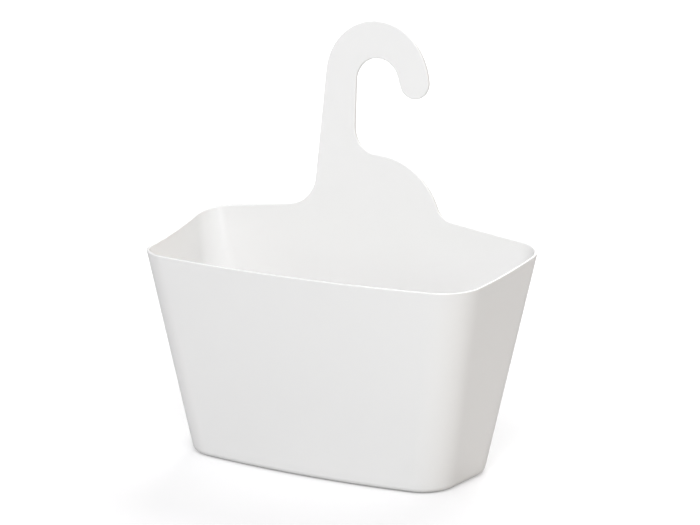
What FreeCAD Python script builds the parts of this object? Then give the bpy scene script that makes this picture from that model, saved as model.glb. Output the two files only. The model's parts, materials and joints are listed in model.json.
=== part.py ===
import FreeCAD, Part
import math
import os

from FreeCAD import Vector

# Hanging shower caddy, in millimetres: a tapered open tub whose flat back wall carries on upward as an open
# hook. The real thing is one plastic moulding. Here it is divided where a moulder would name its regions,
# and neighbouring regions meet face to face.
# Frame: +X to the right and +Z up, with the front facing -Y. The origin is on the plane the tub stands on,
# at the middle of the whole caddy's width and depth.

# Tub outside, where the walls are seen as straight lines before their corners are rounded
RIM_WIDTH = 280.0            # back of the rim, side to side, at the front wall's height
RIM_DEPTH = 112.0            # back of the rim to the ends of the front wall
FRONT_HEIGHT = 152.0         # floor plane to the front wall's rim
SIDE_CONVERGE = 9.5          # each side comes in by this much from back to front
FRONT_BOW = 12.0             # the front wall's rim swells forward by this much at its middle
RIM_FRONT_RADIUS = 30.0
RIM_BACK_RADIUS = 18.5

# Draft: how far each wall stands in at the floor from where it is at the front wall's height
SIDE_DRAFT = 27.0
FRONT_DRAFT = 19.0
BACK_DRAFT = 8.0
BASE_BOW = 8.5
BASE_FRONT_RADIUS = 26.5
BASE_BACK_RADIUS = 30.0

# Rim line: level along the front, sweeping up along the sides, then rising straight to the hook
SIDE_RISE = 11.5
BACK_SLOPE = 0.12            # rise per millimetre from each back corner towards the middle

# Thicknesses
WALL = 2.0
PLATE = 2.8                  # back wall and hook
FLOOR = 2.4
HEEL_RADIUS = 5.5            # outside, where the walls turn into the floor
FOOT_RECESS = 1.0            # hollow under the floor, so that the tub stands on a rim
FOOT_WIDTH = 6.0             # flat width of that rim

# Drain holes, in rows along the floor
DRAIN_RADIUS = 3.0
DRAIN_COLUMNS = 5
DRAIN_ROWS = 2
DRAIN_PITCH_X = 36.0
DRAIN_PITCH_Y = 34.0

# Hook, on the plane of the back wall's outer face: x across and s up the slope of that face
THROAT_RADIUS = 17.3         # the round seat that hangs on a rail or a pipe
THROAT_X = 2.9
THROAT_RISE = 87.3           # throat centre above the top of the back wall's slopes
CROWN_BAND = 23.8            # hook width over the throat
CROWN_SHIFT_X = -1.2         # crown centre from throat centre
CROWN_SHIFT_S = 2.9
SHOULDER_EXTRA = 8.1         # the hook's outer curve opens out by this much beyond the shoulder
SHOULDER_ANGLE = 42.0        # degrees above horizontal
TIP_ANGLE = 6.75             # degrees above horizontal
TIP_RELIEF = 1.0             # how much narrower the tip is than the hook beside it
STEM_TAPER = 4.9             # lean of the stem's outer edge, degrees
SLOT_LENGTH = 33.5           # straight inner edge of the stem, below the throat
SLOT_RADIUS = 19.0           # corner at the bottom of that edge
HIP_RADIUS = 53.5            # round shoulder beside the stem
HIP_FILLET = 16.0            # from the shoulder into the back wall's edge
NECK_FILLET = 23.8           # from the stem's outer edge into the back wall's edge

# Where one region ends and the next begins, always across a straight stretch
TRAY_HEIGHT = 10.0           # the floor region takes in this much of the walls
SEAM_MARGIN = 4.0            # clear of the curve beside it
CROOK_DROP = 6.5             # the crook starts this far below the throat's centre
CROOK_LEAN = 11.0            # degrees, so that the seam passes under the tip

BACK_TILT = math.degrees(math.atan2(BACK_DRAFT, FRONT_HEIGHT))
BACK_INSET = PLATE / math.cos(math.radians(BACK_TILT))
HALF_DEPTH = RIM_DEPTH / 2
RIDGE_RISE = SIDE_RISE + BACK_SLOPE * RIM_WIDTH / 2
MOULD_TOP = FRONT_HEIGHT + RIDGE_RISE + 12.0
RIM_REACH = 1.25             # the rim surface goes this far past the tub, as a share of its size
SKY = 400.0                  # larger than anything that is trimmed


# ---- plane geometry

def polar(centre, radius, angle):
    """Point at an angle in radians on a circle."""
    return centre + Vector(radius * math.cos(angle), radius * math.sin(angle), 0)


def heading(vector):
    return math.atan2(vector.y, vector.x)


def arc(centre, radius, start, end):
    """Arc edge from one angle to another, either way round."""
    points = [polar(centre, radius, start + (end - start) * share) for share in (0, 0.5, 1)]
    return Part.Arc(*points).toShape()


def line(start, end):
    return Part.LineSegment(start, end).toShape()


def leave_circle(point, direction, centre, radius):
    """Where a ray from a point inside a circle leaves it."""
    back = (point - centre).dot(direction)
    reach = math.sqrt(back * back - (point - centre).Length ** 2 + radius * radius)
    return point + direction * (reach - back)


# ---- the tub's plan at any height

def blend(low, high, z):
    return low + (high - low) * z / FRONT_HEIGHT


def back_y(z):
    return HALF_DEPTH + blend(-BACK_DRAFT, 0, z)


def plan(z, wall=0.0, back=0.0):
    """The tub's outline at height z, set in by wall at the front and sides and by back at the back.

    Returns the four corner arcs, anticlockwise from front right, as (centre, radius, start, end), and the
    front's own arc as (centre, radius).
    """
    half = RIM_WIDTH / 2 + blend(-SIDE_DRAFT, 0, z)
    front = blend(FRONT_DRAFT, 0, z) - HALF_DEPTH
    bow = blend(BASE_BOW, FRONT_BOW, z)
    front_radius = blend(BASE_FRONT_RADIUS, RIM_FRONT_RADIUS, z) - wall
    back_radius = blend(BASE_BACK_RADIUS, RIM_BACK_RADIUS, z) - wall

    half_front = half - SIDE_CONVERGE
    bow_radius = (half_front ** 2 + bow ** 2) / (2 * bow)
    bow_centre = Vector(0, front - bow + bow_radius, 0)
    bow_radius = bow_radius - wall

    corner = Vector(half, back_y(z), 0)
    along = (Vector(half_front, front, 0) - corner).normalize()
    outward = Vector(-along.y, along.x, 0)
    side = heading(outward)

    start = corner - outward * (wall + front_radius)
    front_centre = leave_circle(start, along, bow_centre, bow_radius - front_radius)
    front_turn = heading(front_centre - bow_centre)

    start = corner - outward * (wall + back_radius)
    back_centre = start + along * ((start.y - back_y(z) + back + back_radius) / -along.y)

    right = [(front_centre, front_radius, front_turn, side), (back_centre, back_radius, side, math.pi / 2)]
    left = [(Vector(-c.x, c.y, 0), r, math.pi - end, math.pi - begin) for c, r, begin, end in reversed(right)]
    return right + left, (bow_centre, bow_radius)


def outline(z, wall=0.0, back=0.0):
    """The whole closed outline at height z, as a wire."""
    corners, bow = plan(z, wall, back)
    edges = []
    for centre, radius, start, end in corners:
        if edges:
            edges.append(line(last, polar(centre, radius, start)))
        edges.append(arc(centre, radius, start, end))
        last = polar(centre, radius, end)
    edges.append(arc(*bow, corners[-1][3] - 2 * math.pi, corners[0][2]))
    wire = Part.Wire(edges)
    wire.translate(Vector(0, 0, z))
    return wire


def corner_end(z, corner, angle):
    """Where a corner's arc meets the straight wall beside it, at height z."""
    centre, radius, *turns = plan(z)[0][corner]
    return polar(centre, radius, turns[angle]) + Vector(0, 0, z)


# ---- the rim line

def rim_height(x, y):
    """The rim surface over a point: level at the front, rising to a ridge at the middle of the back."""
    share = (y + HALF_DEPTH) / RIM_DEPTH
    half = RIM_WIDTH / 2 - SIDE_CONVERGE * (1 - share)
    ridge = BACK_SLOPE * RIM_WIDTH / 2
    return FRONT_HEIGHT + share ** 2 * (SIDE_RISE + ridge * (1 - abs(x) / half))


def air_above_rim():
    """Everything above the rim surface, as three solids: right and left of the middle, and over the front."""
    curves = []
    for across in (0.0, RIM_REACH):
        poles = []
        for share in (0.0, RIM_REACH / 2, RIM_REACH):
            x = across * (RIM_WIDTH / 2 - SIDE_CONVERGE * (1 - share))
            rise = SIDE_RISE + BACK_SLOPE * RIM_WIDTH / 2 * (1 - across)
            lift = share ** 2 * rise if share == RIM_REACH else 0.0
            poles.append(Vector(x, share * RIM_DEPTH - HALF_DEPTH, FRONT_HEIGHT + lift))
        curve = Part.BezierCurve()
        curve.setPoles(poles)
        curves.append(curve.toShape())
    right = Part.makeRuledSurface(*curves).extrude(Vector(0, 0, SKY))
    left = right.mirror(Vector(0, 0, 0), Vector(1, 0, 0))
    front = Part.makeBox(2 * SKY, SKY, SKY, Vector(-SKY, -HALF_DEPTH - SKY, FRONT_HEIGHT))
    return [right, left, front]


# ---- the tub

def rounded_block(outlines, radius):
    """A block ruled between a low and a high outline, with its bottom edges rounded."""
    block = Part.makeLoft(outlines, True, True)
    bottom = block.BoundBox.ZMin
    edges = [edge for edge in block.Edges if edge.BoundBox.ZMax < bottom + radius]
    return block.makeFillet(radius, edges)


def tub(air):
    """The open tub, trimmed to the rim line, with its foot rim and drain holes."""
    outside = rounded_block([outline(z) for z in (0, MOULD_TOP)], HEEL_RADIUS)
    inside = rounded_block([outline(z, WALL, BACK_INSET) for z in (FLOOR, MOULD_TOP)], HEEL_RADIUS - WALL)
    margin = HEEL_RADIUS + FOOT_WIDTH
    recess = Part.Face(outline(0, margin, margin)).extrude(Vector(0, 0, FOOT_RECESS))
    middle = (back_y(0) + FRONT_DRAFT - HALF_DEPTH - BASE_BOW) / 2
    holes = []
    for column in range(DRAIN_COLUMNS):
        for row in range(DRAIN_ROWS):
            x = (column - (DRAIN_COLUMNS - 1) / 2) * DRAIN_PITCH_X
            y = middle + (row - (DRAIN_ROWS - 1) / 2) * DRAIN_PITCH_Y
            holes.append(Part.makeCylinder(DRAIN_RADIUS, TRAY_HEIGHT, Vector(x, y, 0)))
    return outside.cut([inside, recess] + holes + air)


# ---- the back plate, drawn flat in (x, s) and stood up

BACK_PLANE = FreeCAD.Placement(Vector(0, back_y(0), 0), FreeCAD.Rotation(Vector(1, 0, 0), 90 - BACK_TILT))


def stood_up(flat):
    """A solid drawn in (x, s) with its thickness along z, stood against the back wall's outer plane."""
    stood = flat.copy()
    stood.Placement = BACK_PLANE
    return stood


def edge_of_back(x):
    """The back wall's sloping top edge at x, as a point (x, s) on its outer face."""
    z = FRONT_HEIGHT
    for _ in range(6):
        z = rim_height(x, back_y(z))
    return Vector(x, z / math.cos(math.radians(BACK_TILT)), 0)


class Hook:
    """Centres, radii and angles of the hook's curves, in (x, s)."""

    def __init__(self):
        self.taper = math.radians(STEM_TAPER)
        self.throat = Vector(THROAT_X, edge_of_back(0).y + THROAT_RISE, 0)
        self.crown = self.throat + Vector(CROWN_SHIFT_X, CROWN_SHIFT_S, 0)
        self.crown_radius = THROAT_RADIUS + CROWN_BAND
        self.shoulder_angle = math.radians(SHOULDER_ANGLE)
        self.shoulder = polar(self.crown, -SHOULDER_EXTRA, self.shoulder_angle)
        self.shoulder_radius = self.crown_radius + SHOULDER_EXTRA

        # the tip fills what the throat and the outer curve leave between them, less its relief
        self.tip_angle = math.radians(TIP_ANGLE)
        towards_tip = polar(Vector(), 1, self.tip_angle)
        inner = leave_circle(self.shoulder, towards_tip, self.throat, THROAT_RADIUS)
        self.tip_radius = (self.shoulder_radius - (inner - self.shoulder).Length - TIP_RELIEF) / 2
        self.tip = self.shoulder + towards_tip * (self.shoulder_radius - self.tip_radius)

        # the straight lead-in between throat and tip touches both circles, one on each side of it
        span = self.tip - self.throat
        self.lead = heading(span) + math.acos((THROAT_RADIUS + self.tip_radius) / span.Length)

        self.stem_x = self.throat.x - THROAT_RADIUS
        self.slot = Vector(self.stem_x + SLOT_RADIUS, self.throat.y - SLOT_LENGTH, 0)
        self.hip = self.slot - Vector(0, SLOT_RADIUS + HIP_RADIUS, 0)

        # the left fillet touches the stem's leaning outer edge and the left sloping edge
        slope, self.neck_up = self.slope(-1)
        stem_out = polar(Vector(), 1, math.pi - self.taper)
        start = self.crown + stem_out * (self.crown_radius + NECK_FILLET)
        down = Vector(-stem_out.y, stem_out.x, 0)
        gap = (start - edge_of_back(0)).dot(self.neck_up) - NECK_FILLET
        self.neck = start + down * (gap / -down.dot(self.neck_up))

        # the right fillet touches the hip from outside and the right sloping edge
        slope, self.heel_up = self.slope(1)
        start = edge_of_back(0) + self.heel_up * HIP_FILLET
        beside_hip = start + slope * (self.hip - start).dot(slope)
        self.heel = leave_circle(beside_hip, slope, self.hip, HIP_RADIUS + HIP_FILLET)

    def slope(self, side):
        """Direction to the right along the left or right sloping edge, and its upward normal."""
        along = (edge_of_back(side * RIM_WIDTH / 4) - edge_of_back(0)).normalize() * side
        return along, Vector(-along.y, along.x, 0)


def hook_plate(hook):
    """The whole hook as a flat plate, carried on down below the back wall's sloping edges."""
    neck_foot = hook.neck - hook.neck_up * NECK_FILLET
    neck_top = polar(hook.neck, NECK_FILLET, -hook.taper)
    heel_foot = hook.heel - hook.heel_up * HIP_FILLET
    heel_turn = heading(hook.heel - hook.hip)
    tip_end = hook.lead - math.pi
    bottom = edge_of_back(0).y / 2
    edges = [
        line(Vector(neck_foot.x, bottom, 0), neck_foot),
        arc(hook.neck, NECK_FILLET, heading(-hook.neck_up), -hook.taper),
        line(neck_top, polar(hook.crown, hook.crown_radius, math.pi - hook.taper)),
        arc(hook.crown, hook.crown_radius, math.pi - hook.taper, hook.shoulder_angle),
        arc(hook.shoulder, hook.shoulder_radius, hook.shoulder_angle, hook.tip_angle),
        arc(hook.tip, hook.tip_radius, hook.tip_angle, tip_end),
        line(polar(hook.tip, hook.tip_radius, tip_end), polar(hook.throat, THROAT_RADIUS, hook.lead)),
        arc(hook.throat, THROAT_RADIUS, hook.lead, math.pi),
        line(polar(hook.throat, THROAT_RADIUS, math.pi), polar(hook.slot, SLOT_RADIUS, math.pi)),
        arc(hook.slot, SLOT_RADIUS, math.pi, 1.5 * math.pi),
        arc(hook.hip, HIP_RADIUS, math.pi / 2, heel_turn),
        arc(hook.heel, HIP_FILLET, heel_turn + math.pi, heading(-hook.heel_up) + 2 * math.pi),
        line(heel_foot, Vector(heel_foot.x, bottom, 0)),
        line(Vector(heel_foot.x, bottom, 0), Vector(neck_foot.x, bottom, 0)),
    ]
    return Part.Face(Part.Wire(edges)).extrude(Vector(0, 0, PLATE))


def back_plate(hook, air):
    """The flat back panel, trimmed to the rim line, and the hook that rises from it, as one plate."""
    panel = stood_up(Part.makeBox(RIM_WIDTH, MOULD_TOP, PLATE, Vector(-RIM_WIDTH / 2, 0, 0)))
    under_rim = Part.makeBox(2 * SKY, 2 * SKY, SKY, Vector(-SKY, -SKY, 0)).cut(air)
    return panel.common(under_rim).fuse(stood_up(hook_plate(hook)).cut(under_rim)).removeSplitter()


# ---- dividing the moulding into its regions

def beyond(point, normal):
    """A block that fills the side of a plane that its normal points to."""
    block = Part.makeBox(2 * SKY, 2 * SKY, SKY, Vector(-SKY, -SKY, 0))
    block.Placement = FreeCAD.Placement(point, FreeCAD.Rotation(Vector(0, 0, 1), normal))
    return block


def seam(corner, angle, across):
    """A plane through a straight wall, SEAM_MARGIN clear of the corner, whose normal points to the corner.

    It holds the direction across and follows the slope of the corner's end, so it stays clear all the way up.
    """
    low, high = (corner_end(z, corner, angle) for z in (0, MOULD_TOP))
    normal = (high - low).cross(across).normalize()
    return low - normal * SEAM_MARGIN, normal


def regions():
    """Every region of the moulding, by name."""
    air = air_above_rim()
    hook = Hook()
    parts = {}

    def split_off(name, rest, *side):
        block = beyond(*side)
        parts[name] = rest.common(block)
        return rest.cut(block)

    front_seam = seam(0, 1, Vector(-1, 0, 0))
    right_seam = seam(1, 1, Vector(0, -1, 0))
    left_seam = seam(2, 0, Vector(0, 1, 0))
    floor_seam = Vector(0, 0, TRAY_HEIGHT), Vector(0, 0, -1)

    walls = split_off("floor_tray", tub(air), *floor_seam)
    walls = split_off("front_wall", walls, *front_seam)
    walls = split_off("right_wall", walls, *right_seam)
    split_off("left_wall", walls, *left_seam)

    plate = back_plate(hook, air).cut([beyond(*floor_seam), beyond(*right_seam), beyond(*left_seam)])
    fillet_foot = (hook.neck - hook.neck_up * NECK_FILLET).y
    lean = math.radians(CROOK_LEAN)
    across_plate = [
        ("hook_crook", Vector(hook.stem_x, hook.throat.y - CROOK_DROP, 0), lean),
        ("hook_stem", Vector(0, hook.slot.y + SEAM_MARGIN, 0), 0.0),
        ("hook_neck", Vector(0, fillet_foot + SEAM_MARGIN, 0), 0.0),
    ]
    for name, point, lean in across_plate:
        normal = BACK_PLANE.Rotation.multVec(Vector(math.sin(lean), math.cos(lean), 0))
        plate = split_off(name, plate, BACK_PLANE.multVec(point), normal)
    parts["back_wall"] = plate
    return parts


def centred(parts):
    """The regions moved so that the origin is under the middle of the whole caddy."""
    box = FreeCAD.BoundBox()
    for shape in parts.values():
        box.add(shape.optimalBoundingBox(False))
    for shape in parts.values():
        shape.translate(Vector(-box.Center.x, -box.Center.y, 0))
    return parts


os.makedirs("parts", exist_ok=True)
for name, shape in centred(regions()).items():
    solid = shape.Solids[0]
    assert len(shape.Solids) == 1 and solid.isValid() and solid.isClosed(), name
    solid.exportStep("parts/" + name + ".step")
    print(name, round(solid.Volume / 1000, 2), "cm3")
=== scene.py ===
import json
import math

import bmesh
import bpy
from bpy.props import FloatProperty, FloatVectorProperty, IntProperty, PointerProperty
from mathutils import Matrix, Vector


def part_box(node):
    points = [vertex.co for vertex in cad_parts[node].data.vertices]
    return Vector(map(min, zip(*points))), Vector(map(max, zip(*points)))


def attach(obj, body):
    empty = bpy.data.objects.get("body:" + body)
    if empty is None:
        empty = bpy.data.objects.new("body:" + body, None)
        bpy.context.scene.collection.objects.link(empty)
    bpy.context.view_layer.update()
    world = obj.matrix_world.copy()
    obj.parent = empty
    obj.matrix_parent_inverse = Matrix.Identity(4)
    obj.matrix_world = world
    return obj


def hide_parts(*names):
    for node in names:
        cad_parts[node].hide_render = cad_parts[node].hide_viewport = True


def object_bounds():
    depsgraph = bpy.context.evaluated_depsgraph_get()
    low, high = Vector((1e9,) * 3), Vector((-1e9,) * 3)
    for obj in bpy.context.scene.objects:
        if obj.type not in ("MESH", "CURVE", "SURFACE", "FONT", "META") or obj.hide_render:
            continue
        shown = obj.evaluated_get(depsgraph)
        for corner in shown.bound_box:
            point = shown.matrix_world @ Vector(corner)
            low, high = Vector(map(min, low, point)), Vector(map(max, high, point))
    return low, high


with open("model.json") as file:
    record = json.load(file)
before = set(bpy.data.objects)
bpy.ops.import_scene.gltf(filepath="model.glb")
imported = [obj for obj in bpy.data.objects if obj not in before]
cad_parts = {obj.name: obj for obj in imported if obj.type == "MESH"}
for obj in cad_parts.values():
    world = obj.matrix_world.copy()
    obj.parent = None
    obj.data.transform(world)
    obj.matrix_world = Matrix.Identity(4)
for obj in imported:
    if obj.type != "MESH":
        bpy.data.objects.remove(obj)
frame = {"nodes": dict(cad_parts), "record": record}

bl_info = {
    "name": "Hanging Shower Caddy",
    "version": (1, 0, 0),
    "blender": (4, 5, 0),
    "location": "View3D > Sidebar > Caddy",
    "description": "Models a one-piece white plastic shower caddy around its frame, with a soft studio stage",
    "category": "Add Mesh",
}

# The frame, in metres: +X to the right, +Z up, the front facing -Y
CAD_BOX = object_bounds()
BOXES = {node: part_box(node) for node in frame["nodes"]}
MOUNTS = {mount["name"]: mount for mount in frame["record"]["mounts"]}
X_AXIS, Y_AXIS, Z_AXIS = Vector((1, 0, 0)), Vector((0, 1, 0)), Vector((0, 0, 1))

# The plane of the back wall's outer face, which is the hook's too
BACK_POINT = Vector(MOUNTS["back_face"]["pos_m"])
BACK_OUT = Vector(MOUNTS["back_face"]["axis"]).normalized()
BACK_UP = X_AXIS.cross(BACK_OUT).normalized()
BACK_FOOT = BACK_POINT - BACK_UP * (BACK_POINT.z / BACK_UP.z)

# The round seat that hangs on a rail
THROAT_RADIUS = MOUNTS["hook_throat"]["dims"]["r_mm"] / 1000
THROAT_RISE = (Vector(MOUNTS["hook_throat"]["pos_m"]) - BACK_FOOT).dot(BACK_UP)
THROAT_X = MOUNTS["hook_throat"]["pos_m"][0]

# How finely curves are drawn
CORNER_STEPS = 20
SIDE_STEPS = 8
BOW_STEPS = 30
RULING_CUTS = 7
ROUND_STEPS = 4
HOOK_STEP = math.radians(4)
BACK_STROKE = 3              # of the strokes of the tub's outline, the one along the back
SHARP_ANGLE = math.radians(50)
TOLERANCE = 1e-5             # points closer than this are the same point
HEEL_SET = 0.87              # how far a heel's round reaches from its edge, as a share of its radius
SETTLE_ROUNDS = 6            # repeats that bring a point onto the rim line
BORE_STEPS = 32              # round a drain hole
FLOOR_STEPS = 96             # round the studio floor

# Scales of the plastic's textures, per metre
CLOUD_SCALE = 9
SPECK_SCALE = 34
SPECK_RARITY_SCALE = 21
HANDLING_SCALE = 26
GRAIN_SCALE = 1800
RIPPLE_SCALE = 11

# Radii of a speck where it starts to show and where it is darkest, in cells of its texture
SPECK_EDGE = 0.035
SPECK_CORE = 0.012

PLASTIC_IOR = 1.49
GRAIN_HEIGHT = 0.0001
RIPPLE_HEIGHT = 0.001
HAZE_SCALE = 3               # of the floor
CAMERA_SENSOR = 36           # millimetres

# Name, degrees right of the front, degrees above the horizon, distance, width, watts and tint
SOFTBOXES = (
    ("key_softbox", 24, 48, 6.0, 4.0, 286, (0.98, 0.972, 1.0)),
    ("left_softbox", -72, 50, 6.0, 4.0, 42, (1.0, 1.0, 1.0)),
    ("low_front_softbox", 8, 6, 4.0, 1.0, 13, (0.98, 0.98, 1.0)),
    ("back_softbox", -170, 45, 2.4, 1.6, 38, (1.0, 1.0, 1.0)),
    ("warm_side_fill", 100, 9, 5.0, 1.6, 13, (1.0, 0.57, 0.30)),
    ("corner_fill", 50, 4, 2.4, 0.6, 0.6, (0.5, 1.0, 0.0)),
)


# ---- sizes and colours that can be set in the panel

def size(name, default, description):
    return FloatProperty(name=name, default=default, description=description, min=0.0, precision=4,
                         unit="LENGTH")


def turn(name, default, description):
    return FloatProperty(name=name, default=math.radians(default), description=description, unit="ROTATION")


def amount(name, default, description, high=1.0):
    return FloatProperty(name=name, default=default, description=description, min=0.0, max=high)


def colour(name, default, description):
    return FloatVectorProperty(name=name, default=default, description=description, subtype="COLOR", size=3)


class CaddyTub(bpy.types.PropertyGroup):
    """Sizes of the tub. Widths and depths are where the straight walls would meet without round corners."""

    rim_width: size("Rim width", 0.280, "Back of the rim, side to side, at the front wall's height")
    rim_depth: size("Rim depth", 0.112, "Back of the rim to the ends of the front wall")
    front_height: size("Front height", 0.152, "Floor plane to the front wall's rim")
    mould_height: size("Mould height", 0.1923, "Height that the walls are drawn to before they are trimmed")
    side_converge: size("Side converge", 0.0095, "Each side comes in by this much from back to front")
    front_bow: size("Front bow", 0.012, "The front wall's rim swells forward by this much")
    base_bow: size("Base bow", 0.0085, "The same swelling at the floor")
    rim_front_radius: size("Rim front radius", 0.030, "Front corners at the rim")
    rim_back_radius: size("Rim back radius", 0.0185, "Back corners at the rim")
    base_front_radius: size("Base front radius", 0.0265, "Front corners at the floor")
    base_back_radius: size("Base back radius", 0.030, "Back corners at the floor")
    side_draft: size("Side draft", 0.027, "How far each side stands in at the floor")
    front_draft: size("Front draft", 0.019, "How far the front stands in at the floor")
    side_rise: size("Side rise", 0.0115, "The rim climbs by this much along the sides")
    ridge_rise: size("Ridge rise", 0.0168, "Further climb from the back corners to the middle of the back")
    wall: size("Wall", 0.002, "Thickness of the front and sides")
    plate: size("Plate", 0.0028, "Thickness of the back wall and the hook")
    floor: size("Floor", 0.0024, "Top of the floor inside the tub")
    heel_radius: size("Heel radius", 0.0055, "Outside, where the walls turn into the floor")
    foot_width: size("Foot width", 0.006, "Flat rim that the tub stands on")
    foot_recess: size("Foot recess", 0.001, "Hollow under the floor inside that rim")
    lip_radius: size("Lip radius", 0.0009, "Rounding of the rim's and the hook's edges")


class CaddyDrain(bpy.types.PropertyGroup):
    """The holes that let water out of the tub."""

    radius: size("Radius", 0.003, "Radius of each hole")
    lip: size("Lip", 0.0004, "Rounding at both ends of each hole")
    columns: IntProperty(name="Columns", default=5, min=1, description="Holes along the tub")
    rows: IntProperty(name="Rows", default=2, min=1, description="Holes across the tub")
    pitch_x: size("Pitch along", 0.036, "Between columns")
    pitch_y: size("Pitch across", 0.034, "Between rows")


class CaddyHook(bpy.types.PropertyGroup):
    """Sizes of the hook, drawn on the plane of the back wall."""

    crown_band: size("Crown band", 0.0238, "Hook width over the throat")
    crown_left: size("Crown left", 0.0012, "The crown's centre is this far left of the throat's")
    crown_up: size("Crown up", 0.0029, "The crown's centre is this far above the throat's")
    shoulder_extra: size("Shoulder extra", 0.0081, "The outer curve opens out by this much past the shoulder")
    shoulder_angle: turn("Shoulder angle", 42.0, "Where the outer curve opens out, above horizontal")
    tip_angle: turn("Tip angle", 6.75, "Where the tip begins, above horizontal")
    tip_relief: size("Tip relief", 0.001, "How much narrower the tip is than the hook beside it")
    stem_taper: turn("Stem taper", 4.9, "Lean of the stem's outer edge")
    slot_length: size("Slot length", 0.0335, "Straight inner edge of the stem")
    slot_radius: size("Slot radius", 0.019, "Corner at the bottom of that edge")
    hip_radius: size("Hip radius", 0.0535, "Round shoulder beside the stem")
    hip_fillet: size("Hip fillet", 0.016, "From the hip into the back wall's edge")
    neck_fillet: size("Neck fillet", 0.0238, "From the stem's outer edge into the back wall's edge")
    crook_lean: turn("Crook lean", 11.0, "Lean of the line where the crook begins, to pass under the tip")


class CaddyPlastic(bpy.types.PropertyGroup):
    """The moulded plastic."""

    white: colour("White", (0.946, 0.946, 0.945), "Body colour")
    shade: colour("Shade", (0.934, 0.935, 0.936), "Colour of the faint cloudiness in it")
    speck: colour("Speck", (0.62, 0.61, 0.59), "Colour of stray dust specks in the plastic")
    sheen: amount("Sheen", 0.32, "Strength of its reflections")
    gloss_low: amount("Smooth roughness", 0.30, "Roughness where the mould was polished best")
    gloss_high: amount("Satin roughness", 0.42, "Roughness where handling has dulled it")
    grain: amount("Grain", 0.10, "Depth of the mould's fine texture")
    ripple: amount("Ripple", 0.25, "Depth of the slight unevenness of large thin walls")


class CaddyStage(bpy.types.PropertyGroup):
    """The floor, the lights and the camera."""

    floor_radius: size("Floor radius", 6.0, "Radius of the floor")
    floor_white: colour("Floor white", (0.61, 0.61, 0.61), "Colour of the floor")
    near_glow: amount("Near glow", 0.375, "How much whiter the floor looks by the caddy than it lights it")
    far_glow: amount("Far glow", 0.64, "The same far away, where less light falls")
    foot_light: size("Foot light", 0.0025, "Nearer than this, the floor lets light up to the underside")
    near_reach: size("Near reach", 0.22, "Where the far glow starts to take over")
    far_reach: size("Far reach", 1.2, "Where only the far glow is left")
    sky: amount("Sky", 0.2, "Even light from all around", 10.0)
    azimuth: turn("Azimuth", 29.062, "Camera to the right of the front")
    elevation: turn("Elevation", 13.877, "Camera above the horizon")
    distance: size("Distance", 1.7978, "Camera to the point that it looks at")
    look_height: size("Look height", 0.150, "Height of that point")
    slide: FloatProperty(name="Slide", default=0.01206, description="Camera moved right", unit="LENGTH")
    drop: FloatProperty(name="Drop", default=0.0025, description="Camera moved down", unit="LENGTH")
    focal: FloatProperty(name="Focal length", default=130.02, description="Lens, on a 36 mm wide sensor")


class CaddySettings(bpy.types.PropertyGroup):
    """Everything that the caddy's operators read."""

    tub: PointerProperty(type=CaddyTub)
    drain: PointerProperty(type=CaddyDrain)
    hook: PointerProperty(type=CaddyHook)
    plastic: PointerProperty(type=CaddyPlastic)
    stage: PointerProperty(type=CaddyStage)


# ---- plane geometry

def polar(centre, radius, angle):
    """Point at an angle on a circle in the plane of X and Y."""
    return centre + Vector((radius * math.cos(angle), radius * math.sin(angle), 0))


def heading(vector):
    return math.atan2(vector.y, vector.x)


def leave_circle(point, direction, centre, radius):
    """Where a ray from a point inside a circle leaves it."""
    back = (point - centre).dot(direction)
    reach = math.sqrt(back * back - (point - centre).length_squared + radius * radius)
    return point + direction * (reach - back)


def on_back(flat, depth=0.0):
    """A point drawn as (across, up the slope) on the back wall's outer face, set in by depth."""
    return BACK_FOOT + X_AXIS * flat.x + BACK_UP * flat.y - BACK_OUT * depth


def back_y(z):
    return BACK_FOOT.y + z * BACK_UP.y / BACK_UP.z


class Pen:
    """Draws a chain of edges and keeps the edges of each stroke."""

    def __init__(self, bm, start):
        self.bm = bm
        self.start = self.tip = start if isinstance(start, bmesh.types.BMVert) else bm.verts.new(start)
        self.strokes = []

    def line(self, end, steps=1):
        before = set(self.bm.edges)
        step = (end - self.tip.co) / steps
        for _ in range(steps):
            self.tip = bmesh.ops.extrude_vert_indiv(self.bm, verts=[self.tip])["verts"][0]
            bmesh.ops.translate(self.bm, verts=[self.tip], vec=step)
        self.strokes.append(new_edges(self.bm, before))

    def arc(self, centre, axis, angle, steps=None):
        before = set(self.bm.edges)
        steps = steps or max(2, math.ceil(abs(angle) / HOOK_STEP))
        made = bmesh.ops.spin(self.bm, geom=[self.tip], cent=centre, axis=axis, angle=angle, steps=steps)
        self.tip = next(item for item in made["geom_last"] if isinstance(item, bmesh.types.BMVert))
        self.strokes.append(new_edges(self.bm, before))

    def join(self, end):
        """Ends the chain at a vertex that is already there, and returns the strokes."""
        before = set(self.bm.edges)
        bmesh.ops.weld_verts(self.bm, targetmap={self.tip: end})
        kept = [edge for edge in self.strokes[-1] if edge.is_valid]
        self.strokes[-1] = kept + new_edges(self.bm, before)
        return self.strokes


def new_edges(bm, before):
    return [edge for edge in bm.edges if edge not in before]


def flat_list(strokes):
    return [edge for stroke in strokes for edge in stroke]


# ---- the tub's plan at any height

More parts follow.
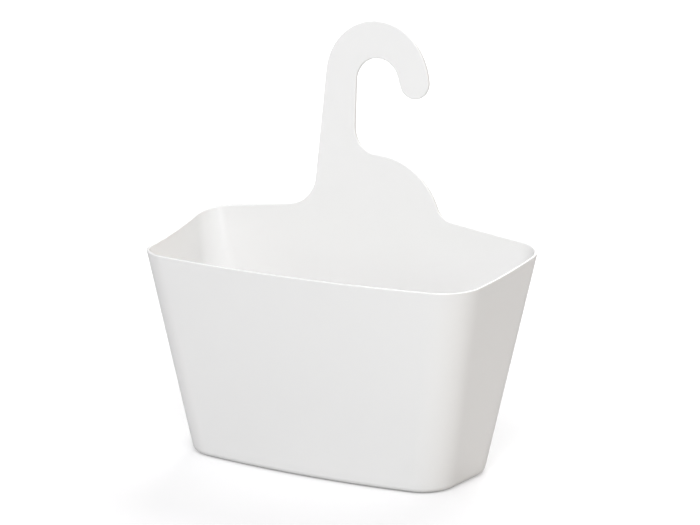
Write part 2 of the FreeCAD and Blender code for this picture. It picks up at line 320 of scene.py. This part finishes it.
class TubPlan:
    """The tub's outline at height z, set in by wall at the front and sides and by back at the back."""

    def __init__(self, tub, z, wall=0.0, back=0.0):
        self.z = z

        def at(low, high):
            return low + (high - low) * z / tub.front_height

        half = tub.rim_width / 2 - at(tub.side_draft, 0)
        front = back_y(tub.front_height) - tub.rim_depth + at(tub.front_draft, 0)
        bow = at(tub.base_bow, tub.front_bow)
        front_radius = at(tub.base_front_radius, tub.rim_front_radius) - wall
        back_radius = at(tub.base_back_radius, tub.rim_back_radius) - wall

        half_front = half - tub.side_converge
        radius = (half_front ** 2 + bow ** 2) / (2 * bow)
        self.bow_centre = Vector((0, front - bow + radius, 0))
        self.bow_radius = radius - wall

        corner = Vector((half, back_y(z), 0))
        along = (Vector((half_front, front, 0)) - corner).normalized()
        outward = Vector((-along.y, along.x, 0))
        side = heading(outward)

        start = corner - outward * (wall + front_radius)
        front_centre = leave_circle(start, along, self.bow_centre, self.bow_radius - front_radius)
        front_turn = heading(front_centre - self.bow_centre)
        start = corner - outward * (wall + back_radius)
        back_centre = start + along * ((start.y - back_y(z) + back + back_radius) / -along.y)

        right = [(front_centre, front_radius, front_turn, side),
                 (back_centre, back_radius, side, math.pi / 2)]
        left = [(Vector((-centre.x, centre.y, 0)), radius, math.pi - end, math.pi - begin)
                for centre, radius, begin, end in reversed(right)]
        self.corners = right + left

    def lift(self, point):
        return point + Z_AXIS * self.z

    def draw(self, bm):
        """Draws the closed outline, anticlockwise from the front right, and returns its strokes."""
        centre, radius, begin, end = self.corners[0]
        pen = Pen(bm, self.lift(polar(centre, radius, begin)))
        pen.arc(self.lift(centre), Z_AXIS, end - begin, CORNER_STEPS)
        for (centre, radius, begin, end), steps in zip(self.corners[1:], (SIDE_STEPS, 1, SIDE_STEPS)):
            pen.line(self.lift(polar(centre, radius, begin)), steps)
            pen.arc(self.lift(centre), Z_AXIS, end - begin, CORNER_STEPS)
        bow = self.corners[0][2] - self.corners[-1][3] + 2 * math.pi
        pen.arc(self.lift(self.bow_centre), Z_AXIS, bow, BOW_STEPS)
        return pen.join(pen.start)


def rim_height(tub, point):
    """The rim line's height over a point: level at the front, rising to a ridge at the middle of the back."""
    share = (point.y - back_y(tub.front_height)) / tub.rim_depth + 1
    half = tub.rim_width / 2 - tub.side_converge * (1 - share)
    ridge = tub.ridge_rise * (1 - abs(point.x) / half)
    return tub.front_height + max(share, 0) ** 2 * (tub.side_rise + ridge)


def edge_of_back(tub, x):
    """The back wall's sloping top edge at x, drawn flat on its outer face."""
    z = tub.front_height
    for _ in range(SETTLE_ROUNDS):
        z = rim_height(tub, Vector((x, back_y(z), 0)))
    return Vector((x, z / BACK_UP.z, 0))


# ---- the hook's outline

class HookCurves:
    """Centres, radii and angles of the hook's curves, drawn flat on the back wall's outer face."""

    def __init__(self, tub, hook):
        self.sizes = hook
        self.throat = Vector((THROAT_X, THROAT_RISE, 0))
        self.crown = self.throat + Vector((-hook.crown_left, hook.crown_up, 0))
        self.crown_radius = THROAT_RADIUS + hook.crown_band
        self.shoulder = polar(self.crown, -hook.shoulder_extra, hook.shoulder_angle)
        self.shoulder_radius = self.crown_radius + hook.shoulder_extra

        # the tip fills what the throat and the outer curve leave between them, less its relief
        to_tip = polar(Vector(), 1, hook.tip_angle)
        inner = leave_circle(self.shoulder, to_tip, self.throat, THROAT_RADIUS)
        self.tip_radius = (self.shoulder_radius - (inner - self.shoulder).length - hook.tip_relief) / 2
        self.tip = self.shoulder + to_tip * (self.shoulder_radius - self.tip_radius)

        # the straight lead-in between throat and tip touches both circles, one on each side of it
        span = self.tip - self.throat
        self.lead = heading(span) + math.acos((THROAT_RADIUS + self.tip_radius) / span.length)

        self.slot = self.throat + Vector((hook.slot_radius - THROAT_RADIUS, -hook.slot_length, 0))
        self.hip = self.slot - Vector((0, hook.slot_radius + hook.hip_radius, 0))

        # the left fillet touches the stem's leaning outer edge and the left sloping edge
        ridge = edge_of_back(tub, 0)
        _, self.neck_up = self.slope(tub, -1)
        stem_out = polar(Vector(), 1, math.pi - hook.stem_taper)
        start = self.crown + stem_out * (self.crown_radius + hook.neck_fillet)
        down = Vector((-stem_out.y, stem_out.x, 0))
        gap = (start - ridge).dot(self.neck_up) - hook.neck_fillet
        self.neck = start + down * (gap / -down.dot(self.neck_up))

        # the right fillet touches the hip from outside and the right sloping edge
        slope, self.heel_up = self.slope(tub, 1)
        start = ridge + self.heel_up * hook.hip_fillet
        beside_hip = start + slope * (self.hip - start).dot(slope)
        self.heel = leave_circle(beside_hip, slope, self.hip, hook.hip_radius + hook.hip_fillet)

    def slope(self, tub, side):
        """Direction to the right along the left or right sloping edge, and its upward normal."""
        ridge, flank = (edge_of_back(tub, x) for x in (0, side * tub.rim_width / 4))
        along = (flank - ridge).normalized() * side
        return along, Vector((-along.y, along.x, 0))

    def draw(self, bm, start, end, depth):
        """Draws the hook's outline from the left back corner of the rim to the right one, set in by depth."""
        hook, half_turn = self.sizes, math.pi
        heel_turn = heading(self.heel - self.hip)
        pen = Pen(bm, start)
        strokes = [
            (self.neck, hook.neck_fillet, heading(-self.neck_up), -hook.stem_taper),
            (self.crown, self.crown_radius, half_turn - hook.stem_taper, hook.shoulder_angle),
            (self.shoulder, self.shoulder_radius, hook.shoulder_angle, hook.tip_angle),
            (self.tip, self.tip_radius, hook.tip_angle, self.lead - half_turn),
            (self.throat, THROAT_RADIUS, self.lead, half_turn),
            (self.slot, hook.slot_radius, half_turn, 1.5 * half_turn),
            (self.hip, hook.hip_radius, half_turn / 2, heel_turn),
            (self.heel, hook.hip_fillet, heel_turn + half_turn, heading(-self.heel_up) + 2 * half_turn),
        ]
        for centre, radius, begin, finish in strokes:
            target = on_back(polar(centre, radius, begin), depth)
            if (target - pen.tip.co).length > TOLERANCE:
                pen.line(target)
            pen.arc(on_back(centre, depth), -BACK_OUT, finish - begin)
        pen.line(end.co)
        return pen.join(end)


# ---- the whole moulding

def bridge(bm, low, high):
    """Joins two outlines stroke by stroke, and returns the edges that run from one to the other."""
    rulings = set()
    for near, far in zip(low, high):
        rulings.update(bmesh.ops.bridge_loops(bm, edges=near + far)["edges"])
    return [edge for edge in rulings if edge.is_valid]


def round_edges(bm, edges, reach, steps):
    bmesh.ops.bevel(bm, geom=edges, offset=reach, offset_type="OFFSET", segments=steps, profile=0.5,
                    affect="EDGES", clamp_overlap=False, material=-1)


def skin(bm, settings, levels, depth, heel_radius):
    """One side of the moulding: a floor flange, walls trimmed to the rim line, and a flat back with the hook.

    Levels run from the floor's flange to above the rim, and the walls stand on the last but one. Returns the
    flange's inner edges and the rim's strokes.
    """
    tub = settings.tub
    rings = [level.draw(bm) for level in levels]
    for low, high in zip(rings, rings[1:]):
        rulings = bridge(bm, low, high)

    # slide the top of each ruling down to the rim line
    top = {vert for edge in flat_list(rings[-1]) for vert in edge.verts}
    for ruling in rulings:
        head = next(vert for vert in ruling.verts if vert in top)
        foot = ruling.other_vert(head).co
        ray = (head.co - foot) / (head.co.z - foot.z)
        for _ in range(SETTLE_ROUNDS):
            head.co = foot + ray * (rim_height(tub, head.co) - foot.z)

    # the flat back panel grows into the hook
    (back_top,), (back_foot,) = (rings[level].pop(BACK_STROKE) for level in (-1, -2))
    left, right = sorted(back_top.verts, key=lambda vert: vert.co.x)
    outlines = flat_list(rings[-2])
    sides = [edge for edge in rulings if set(edge.verts) & set(back_foot.verts) and edge not in outlines]
    bmesh.ops.delete(bm, geom=[back_top], context="EDGES")
    outline = HookCurves(tub, settings.hook).draw(bm, left, right, depth)
    bmesh.ops.contextual_create(bm, geom=flat_list(outline) + sides + [back_foot])

    bmesh.ops.subdivide_edges(bm, edges=rulings, cuts=RULING_CUTS, use_grid_fill=True)
    round_edges(bm, flat_list(rings[-2]) + [back_foot], heel_radius * HEEL_SET, 2 * ROUND_STEPS)
    return flat_list(rings[0]), rings[-1] + outline


def drain_places(settings):
    """The middle of each drain hole, at floor level."""
    tub, drain = settings.tub, settings.drain
    front = back_y(tub.front_height) - tub.rim_depth + tub.front_draft - tub.base_bow
    middle = (back_y(0) + front) / 2
    for column in range(drain.columns):
        for row in range(drain.rows):
            yield Vector(((column - (drain.columns - 1) / 2) * drain.pitch_x,
                          middle + (row - (drain.rows - 1) / 2) * drain.pitch_y, 0))


def drain_bore(bm, settings, place):
    """A hole's wall with rounded lips, and the edges of its lower and upper mouths."""
    low, high = settings.tub.foot_recess, settings.tub.floor
    radius, lip = settings.drain.radius, settings.drain.lip
    pen = Pen(bm, place + Vector((radius + lip, 0, low)))
    pen.arc(place + Vector((radius + lip, 0, low + lip)), Y_AXIS, math.pi / 2, ROUND_STEPS)
    pen.line(place + Vector((radius, 0, high - lip)))
    pen.arc(place + Vector((radius + lip, 0, high - lip)), Y_AXIS, math.pi / 2, ROUND_STEPS)
    profile = flat_list(pen.strokes)
    before = set(bm.edges)
    bmesh.ops.spin(bm, geom=profile, cent=place, axis=Z_AXIS, angle=2 * math.pi, steps=BORE_STEPS,
                   use_merge=True)
    made = [edge for edge in profile + new_edges(bm, before) if edge.is_valid and edge.is_boundary]
    return [[edge for edge in made if all(abs(vert.co.z - z) < TOLERANCE for vert in edge.verts)]
            for z in (low, high)]


def whole_moulding(settings):
    """The whole caddy as one closed shell, in a mesh that every region is cut from."""
    name = "whole_moulding"
    if name in bpy.data.meshes:
        return bpy.data.meshes[name]
    tub, bm = settings.tub, bmesh.new()
    flange = tub.heel_radius + tub.foot_width
    top = tub.mould_height
    outer = [TubPlan(tub, tub.foot_recess, flange, flange), TubPlan(tub, 0, flange, flange), TubPlan(tub, 0),
             TubPlan(tub, top)]
    back = tub.plate / BACK_UP.z
    inner = [TubPlan(tub, tub.floor, flange, flange), TubPlan(tub, tub.floor, tub.wall, back),
             TubPlan(tub, top, tub.wall, back)]
    under, outer_rim = skin(bm, settings, outer, 0.0, tub.heel_radius)
    floor, inner_rim = skin(bm, settings, inner, tub.plate, tub.heel_radius - tub.wall)

    mouths = [drain_bore(bm, settings, place) for place in drain_places(settings)]
    for edges, side in ((under, 0), (floor, 1)):
        rims = edges + [edge for mouth in mouths for edge in mouth[side]]
        bmesh.ops.triangle_fill(bm, edges=rims, use_beauty=True, use_dissolve=False)

    bridge(bm, outer_rim, inner_rim)
    round_edges(bm, flat_list(outer_rim + inner_rim), tub.lip_radius, ROUND_STEPS)
    bmesh.ops.recalc_face_normals(bm, faces=bm.faces[:])
    mesh = bpy.data.meshes.new(name)
    bm.to_mesh(mesh)
    bm.free()
    return mesh


# ---- dividing it into its regions

def low_corner(node):
    return BOXES[node][0]


def high_corner(node):
    return BOXES[node][1]


def upward_seams():
    """The planes that divide the moulding, as (point, normal), by the name of what lies beyond each."""
    tray = high_corner("floor_tray").z
    front, right, back = high_corner("front_wall"), high_corner("right_wall"), high_corner("back_wall")

    forward = Vector((0, low_corner("right_wall").y - front.y, front.z - tray))
    outward = Vector((back.x - low_corner("right_wall").x, 0, right.z - tray))
    side = Vector((outward.z, 0, -outward.x)).normalized()
    corner = Vector((low_corner("right_wall").x, 0, tray))
    neck = Vector((0, back.y, low_corner("hook_neck").z))
    stem = Vector((0, high_corner("hook_neck").y, low_corner("hook_stem").z))
    lean = bpy.context.scene.caddy.hook.crook_lean
    crook = Vector((low_corner("hook_crook").x, low_corner("hook_stem").y, high_corner("hook_stem").z))
    return {
        "walls": (Vector((0, 0, tray)), Z_AXIS),
        "front": (Vector((0, front.y, tray)), forward.cross(X_AXIS).normalized() * -1),
        "right": (corner, side),
        "left": (Vector((-corner.x, 0, tray)), Vector((-side.x, 0, side.z))),
        "neck": (neck, BACK_UP),
        "stem": (stem, BACK_UP),
        "crook": (crook, BACK_UP * math.cos(lean) + X_AXIS * math.sin(lean)),
    }


def keep_side(bm, point, normal):
    """Cuts at a plane, keeps what its normal points to and closes the cut."""
    everything = bm.verts[:] + bm.edges[:] + bm.faces[:]
    made = bmesh.ops.bisect_plane(bm, geom=everything, dist=TOLERANCE / 10, plane_co=point, plane_no=normal,
                                  clear_inner=True)
    cut = [item for item in made["geom_cut"] if isinstance(item, bmesh.types.BMEdge)]
    if not cut:
        raise RuntimeError("a seam misses the moulding")
    bmesh.ops.triangle_fill(bm, edges=cut, use_beauty=True, use_dissolve=False)


def add_region(context, node, beyond=(), short_of=()):
    """Cuts one region out of the moulding and makes it the piece that stands for its node."""
    settings = context.scene.caddy
    seams = upward_seams()
    bm = bmesh.new()
    bm.from_mesh(whole_moulding(settings))
    for name in beyond:
        keep_side(bm, *seams[name])
    for name in short_of:
        point, normal = seams[name]
        keep_side(bm, point, -normal)
    bmesh.ops.recalc_face_normals(bm, faces=bm.faces[:])
    if any(not edge.is_manifold for edge in bm.edges):
        raise RuntimeError(node + " isn't closed")
    for face in bm.faces:
        face.smooth = True
    for edge in bm.edges:
        edge.smooth = edge.calc_face_angle() < SHARP_ANGLE

    name = "moulded_" + node
    mesh = bpy.data.meshes.new(name)
    bm.to_mesh(mesh)
    bm.free()
    mesh.materials.append(white_plastic(settings.plastic))
    piece = bpy.data.objects.new(name, mesh)
    context.collection.objects.link(piece)
    normals = piece.modifiers.new("Flat faces stay flat", "WEIGHTED_NORMAL")
    normals.mode = "FACE_AREA"
    normals.keep_sharp = True
    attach(piece, "root")
    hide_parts(node)
    return piece


# ---- materials

def add_node(tree, kind, settings=None, **inputs):
    """Adds a node, sets its own settings, and sets or links its inputs by name."""
    node = tree.nodes.new(kind)
    for name, value in (settings or {}).items():
        setattr(node, name, value)
    for name, value in inputs.items():
        socket = node.inputs[name.replace("_", " ")]
        if isinstance(value, bpy.types.NodeSocket):
            tree.links.new(value, socket)
        else:
            socket.default_value = value
    return node


def cloud_group():
    """Soft cloudiness between 0 and 1, shared by the plastic and the floor."""
    name = "Soft cloudiness"
    if name in bpy.data.node_groups:
        return bpy.data.node_groups[name]
    group = bpy.data.node_groups.new(name, "ShaderNodeTree")
    group.interface.new_socket("Vector", in_out="INPUT", socket_type="NodeSocketVector")
    for socket, default in (("Scale", 10.0), ("Detail", 2.0), ("Low", 0.35), ("High", 0.65)):
        made = group.interface.new_socket(socket, in_out="INPUT", socket_type="NodeSocketFloat")
        made.default_value = default
    group.interface.new_socket("Mask", in_out="OUTPUT", socket_type="NodeSocketFloat")
    given = group.nodes.new("NodeGroupInput").outputs
    noise = add_node(group, "ShaderNodeTexNoise", Vector=given["Vector"], Scale=given["Scale"],
                     Detail=given["Detail"])
    spread = add_node(group, "ShaderNodeMapRange", {"interpolation_type": "SMOOTHSTEP"},
                      Value=noise.outputs[0], From_Min=given["Low"], From_Max=given["High"])
    result = group.nodes.new("NodeGroupOutput")
    group.links.new(spread.outputs["Result"], result.inputs["Mask"])
    return group


def new_material(name):
    """An empty material and its output node."""
    material = bpy.data.materials.new(name)
    material.use_nodes = True
    material.node_tree.nodes.clear()
    return material, material.node_tree, material.node_tree.nodes.new("ShaderNodeOutputMaterial")


def white_plastic(look):
    """Satin-gloss moulded plastic with faint clouds, handling marks, stray specks and fine mould grain."""
    name = "white_plastic"
    if name in bpy.data.materials:
        return bpy.data.materials[name]
    material, tree, output = new_material(name)
    place = add_node(tree, "ShaderNodeTexCoord").outputs["Object"]

    def cloud(scale, detail, low, high):
        return add_node(tree, "ShaderNodeGroup", {"node_tree": cloud_group()}, Vector=place, Scale=scale,
                        Detail=detail, Low=low, High=high).outputs["Mask"]

    tint = add_node(tree, "ShaderNodeMix", {"data_type": "RGBA"}, Factor=cloud(CLOUD_SCALE, 2, 0.3, 0.7))
    tint.inputs[6].default_value = (*look.white, 1)
    tint.inputs[7].default_value = (*look.shade, 1)
    dots = add_node(tree, "ShaderNodeTexVoronoi", Vector=place, Scale=SPECK_SCALE, Randomness=1)
    fleck = add_node(tree, "ShaderNodeMapRange", {"interpolation_type": "SMOOTHSTEP"},
                     Value=dots.outputs["Distance"], From_Min=SPECK_EDGE, From_Max=SPECK_CORE)
    rare = add_node(tree, "ShaderNodeMath", {"operation": "MULTIPLY"})
    tree.links.new(fleck.outputs["Result"], rare.inputs[0])
    tree.links.new(cloud(SPECK_RARITY_SCALE, 0, 0.62, 0.72), rare.inputs[1])
    specked = add_node(tree, "ShaderNodeMix", {"data_type": "RGBA"}, Factor=rare.outputs[0])
    tree.links.new(tint.outputs[2], specked.inputs[6])
    specked.inputs[7].default_value = (*look.speck, 1)

    gloss = add_node(tree, "ShaderNodeMapRange", Value=cloud(HANDLING_SCALE, 4, 0.38, 0.66),
                     To_Min=look.gloss_low, To_Max=look.gloss_high)
    grain = add_node(tree, "ShaderNodeTexNoise", Vector=place, Scale=GRAIN_SCALE, Detail=2)
    ripple = add_node(tree, "ShaderNodeTexNoise", Vector=place, Scale=RIPPLE_SCALE, Detail=1)
    fine = add_node(tree, "ShaderNodeBump", Strength=look.grain, Distance=GRAIN_HEIGHT,
                    Height=grain.outputs[0])
    broad = add_node(tree, "ShaderNodeBump", Strength=look.ripple, Distance=RIPPLE_HEIGHT,
                     Height=ripple.outputs[0], Normal=fine.outputs[0])
    body = add_node(tree, "ShaderNodeBsdfPrincipled", Base_Color=specked.outputs[2],
                    Roughness=gloss.outputs["Result"], Normal=broad.outputs[0], IOR=PLASTIC_IOR)
    body.inputs["Specular IOR Level"].default_value = look.sheen
    tree.links.new(body.outputs[0], output.inputs["Surface"])
    return material


def studio_floor(look):
    """A matt table that looks whiter to the camera than it lights the caddy.

    It can be looked through from below, and where it almost touches the caddy it lets light through.
    """
    material, tree, output = new_material("studio_floor")
    place = add_node(tree, "ShaderNodeTexCoord").outputs["Object"]
    haze = add_node(tree, "ShaderNodeGroup", {"node_tree": cloud_group()}, Vector=place, Scale=HAZE_SCALE)
    rough = add_node(tree, "ShaderNodeMapRange", Value=haze.outputs["Mask"], To_Min=0.8, To_Max=0.9)
    matt = add_node(tree, "ShaderNodeBsdfPrincipled", Base_Color=(*look.floor_white, 1),
                    Roughness=rough.outputs["Result"], Emission_Color=(1, 1, 1, 1))
    matt.inputs["Specular IOR Level"].default_value = 0.1
    seen = add_node(tree, "ShaderNodeMath", {"operation": "MULTIPLY"})
    tree.links.new(add_node(tree, "ShaderNodeLightPath").outputs["Is Camera Ray"], seen.inputs[0])
    away = add_node(tree, "ShaderNodeVectorMath", {"operation": "LENGTH"})
    tree.links.new(place, away.inputs[0])
    glow = add_node(tree, "ShaderNodeMapRange", {"interpolation_type": "SMOOTHSTEP"},
                    Value=away.outputs["Value"], From_Min=look.near_reach, From_Max=look.far_reach,
                    To_Min=look.near_glow, To_Max=look.far_glow)
    tree.links.new(glow.outputs["Result"], seen.inputs[1])
    tree.links.new(seen.outputs[0], matt.inputs["Emission Strength"])
    clear = add_node(tree, "ShaderNodeBsdfTransparent")
    close = add_node(tree, "ShaderNodeMath", {"operation": "LESS_THAN"})
    tree.links.new(add_node(tree, "ShaderNodeLightPath").outputs["Ray Length"], close.inputs[0])
    close.inputs[1].default_value = look.foot_light
    open_way = add_node(tree, "ShaderNodeMath", {"operation": "MAXIMUM"})
    tree.links.new(close.outputs[0], open_way.inputs[0])
    tree.links.new(add_node(tree, "ShaderNodeNewGeometry").outputs["Backfacing"], open_way.inputs[1])
    mix = add_node(tree, "ShaderNodeMixShader")
    tree.links.new(open_way.outputs[0], mix.inputs[0])
    tree.links.new(matt.outputs[0], mix.inputs[1])
    tree.links.new(clear.outputs[0], mix.inputs[2])
    tree.links.new(mix.outputs[0], output.inputs["Surface"])
    return material


# ---- directions and lights

def view_direction(azimuth, elevation):
    """Unit vector from the object towards something at an azimuth right of the front and an elevation."""
    level = math.cos(elevation)
    return Vector((math.sin(azimuth) * level, -math.cos(azimuth) * level, math.sin(elevation)))


def add_softbox(context, name, azimuth, elevation, distance, width, watts, tint):
    """A large square light that faces the middle of the object."""
    data = bpy.data.lights.new(name, "AREA")
    data.size, data.energy, data.color = width, watts, tint
    light = bpy.data.objects.new(name, data)
    context.collection.objects.link(light)
    away = view_direction(math.radians(azimuth), math.radians(elevation))
    middle = (CAD_BOX[0] + CAD_BOX[1]) / 2
    light.location = middle + away * distance
    light.rotation_euler = away.to_track_quat("Z", "Y").to_euler()


# ---- operators

class CADDY_OT_floor_tray(bpy.types.Operator):
    """Models the floor region with its foot rim and drain holes"""

    bl_idname = "caddy.floor_tray"
    bl_label = "Floor tray"

    def execute(self, context):
        add_region(context, "floor_tray", short_of=["walls"])
        return {"FINISHED"}


class CADDY_OT_front_wall(bpy.types.Operator):
    """Models the bowed front wall with its two round corners"""

    bl_idname = "caddy.front_wall"
    bl_label = "Front wall"

    def execute(self, context):
        add_region(context, "front_wall", ["walls", "front"])
        return {"FINISHED"}


class CADDY_OT_side_walls(bpy.types.Operator):
    """Models the two side walls, each with its back corner"""

    bl_idname = "caddy.side_walls"
    bl_label = "Side walls"

    def execute(self, context):
        add_region(context, "right_wall", ["walls", "right"], ["front"])
        add_region(context, "left_wall", ["walls", "left"], ["front"])
        return {"FINISHED"}


class CADDY_OT_back_wall(bpy.types.Operator):
    """Models the flat back wall up to the hook"""

    bl_idname = "caddy.back_wall"
    bl_label = "Back wall"

    def execute(self, context):
        add_region(context, "back_wall", ["walls"], ["front", "right", "left", "neck"])
        return {"FINISHED"}


class CADDY_OT_hook(bpy.types.Operator):
    """Models the hook's neck, stem and crook"""

    bl_idname = "caddy.hook"
    bl_label = "Hook"

    def execute(self, context):
        add_region(context, "hook_neck", ["neck"], ["stem"])
        add_region(context, "hook_stem", ["stem"], ["crook"])
        add_region(context, "hook_crook", ["crook"])
        return {"FINISHED"}


class CADDY_OT_stage(bpy.types.Operator):
    """Adds the white floor, the soft studio lights and the camera"""

    bl_idname = "caddy.stage"
    bl_label = "Stage"

    def execute(self, context):
        look = context.scene.caddy.stage
        self.add_floor(context, look)
        self.add_lights(context, look)
        self.add_camera(context, look)
        return {"FINISHED"}

    def add_floor(self, context, look):
        bm = bmesh.new()
        bmesh.ops.create_circle(bm, cap_ends=True, segments=FLOOR_STEPS, radius=look.floor_radius)
        mesh = bpy.data.meshes.new("studio_floor")
        bm.to_mesh(mesh)
        bm.free()
        mesh.materials.append(studio_floor(look))
        floor = bpy.data.objects.new("studio_floor", mesh)
        context.collection.objects.link(floor)

    def add_lights(self, context, look):
        world = bpy.data.worlds.new("studio")
        world.use_nodes = True
        sky = world.node_tree.nodes["Background"]
        sky.inputs["Color"].default_value = (1, 1, 1, 1)
        sky.inputs["Strength"].default_value = look.sky
        context.scene.world = world
        for lamp in SOFTBOXES:
            add_softbox(context, *lamp)
        context.scene.view_settings.view_transform = "Standard"

    def add_camera(self, context, look):
        data = bpy.data.cameras.new("camera")
        data.sensor_width = CAMERA_SENSOR
        data.lens = look.focal
        data.clip_start, data.clip_end = 0.05, 50
        camera = bpy.data.objects.new("camera", data)
        context.collection.objects.link(camera)
        tub = context.scene.caddy.tub
        away = view_direction(look.azimuth, look.elevation)
        right = Vector((math.cos(look.azimuth), math.sin(look.azimuth), 0))
        middle = Vector((0, back_y(tub.front_height) - tub.rim_depth / 2, look.look_height))
        camera.location = middle + away * look.distance + right * look.slide - away.cross(right) * look.drop
        camera.rotation_euler = away.to_track_quat("Z", "Y").to_euler()
        context.scene.camera = camera


OPERATORS = (CADDY_OT_floor_tray, CADDY_OT_front_wall, CADDY_OT_side_walls, CADDY_OT_back_wall, CADDY_OT_hook,
             CADDY_OT_stage)


class CADDY_PT_panel(bpy.types.Panel):
    """Lists the caddy's pieces and its settings"""

    bl_label = "Shower Caddy"
    bl_idname = "CADDY_PT_panel"
    bl_space_type = "VIEW_3D"
    bl_region_type = "UI"
    bl_category = "Caddy"

    def draw(self, context):
        for operator in OPERATORS:
            self.layout.operator(operator.bl_idname)
        settings = context.scene.caddy
        for group in (settings.tub, settings.drain, settings.hook, settings.plastic, settings.stage):
            box = self.layout.box()
            for name in group.__annotations__:
                box.prop(group, name)


GROUPS = (CaddyTub, CaddyDrain, CaddyHook, CaddyPlastic, CaddyStage, CaddySettings)
CLASSES = GROUPS + OPERATORS + (CADDY_PT_panel,)


def register():
    for cls in CLASSES:
        bpy.utils.register_class(cls)
    bpy.types.Scene.caddy = PointerProperty(type=CaddySettings)


def unregister():
    del bpy.types.Scene.caddy
    for cls in reversed(CLASSES):
        bpy.utils.unregister_class(cls)


def main():
    register()
    for operator in OPERATORS:
        group, name = operator.bl_idname.split(".")
        getattr(getattr(bpy.ops, group), name)()


if __name__ == "__main__":
    main()
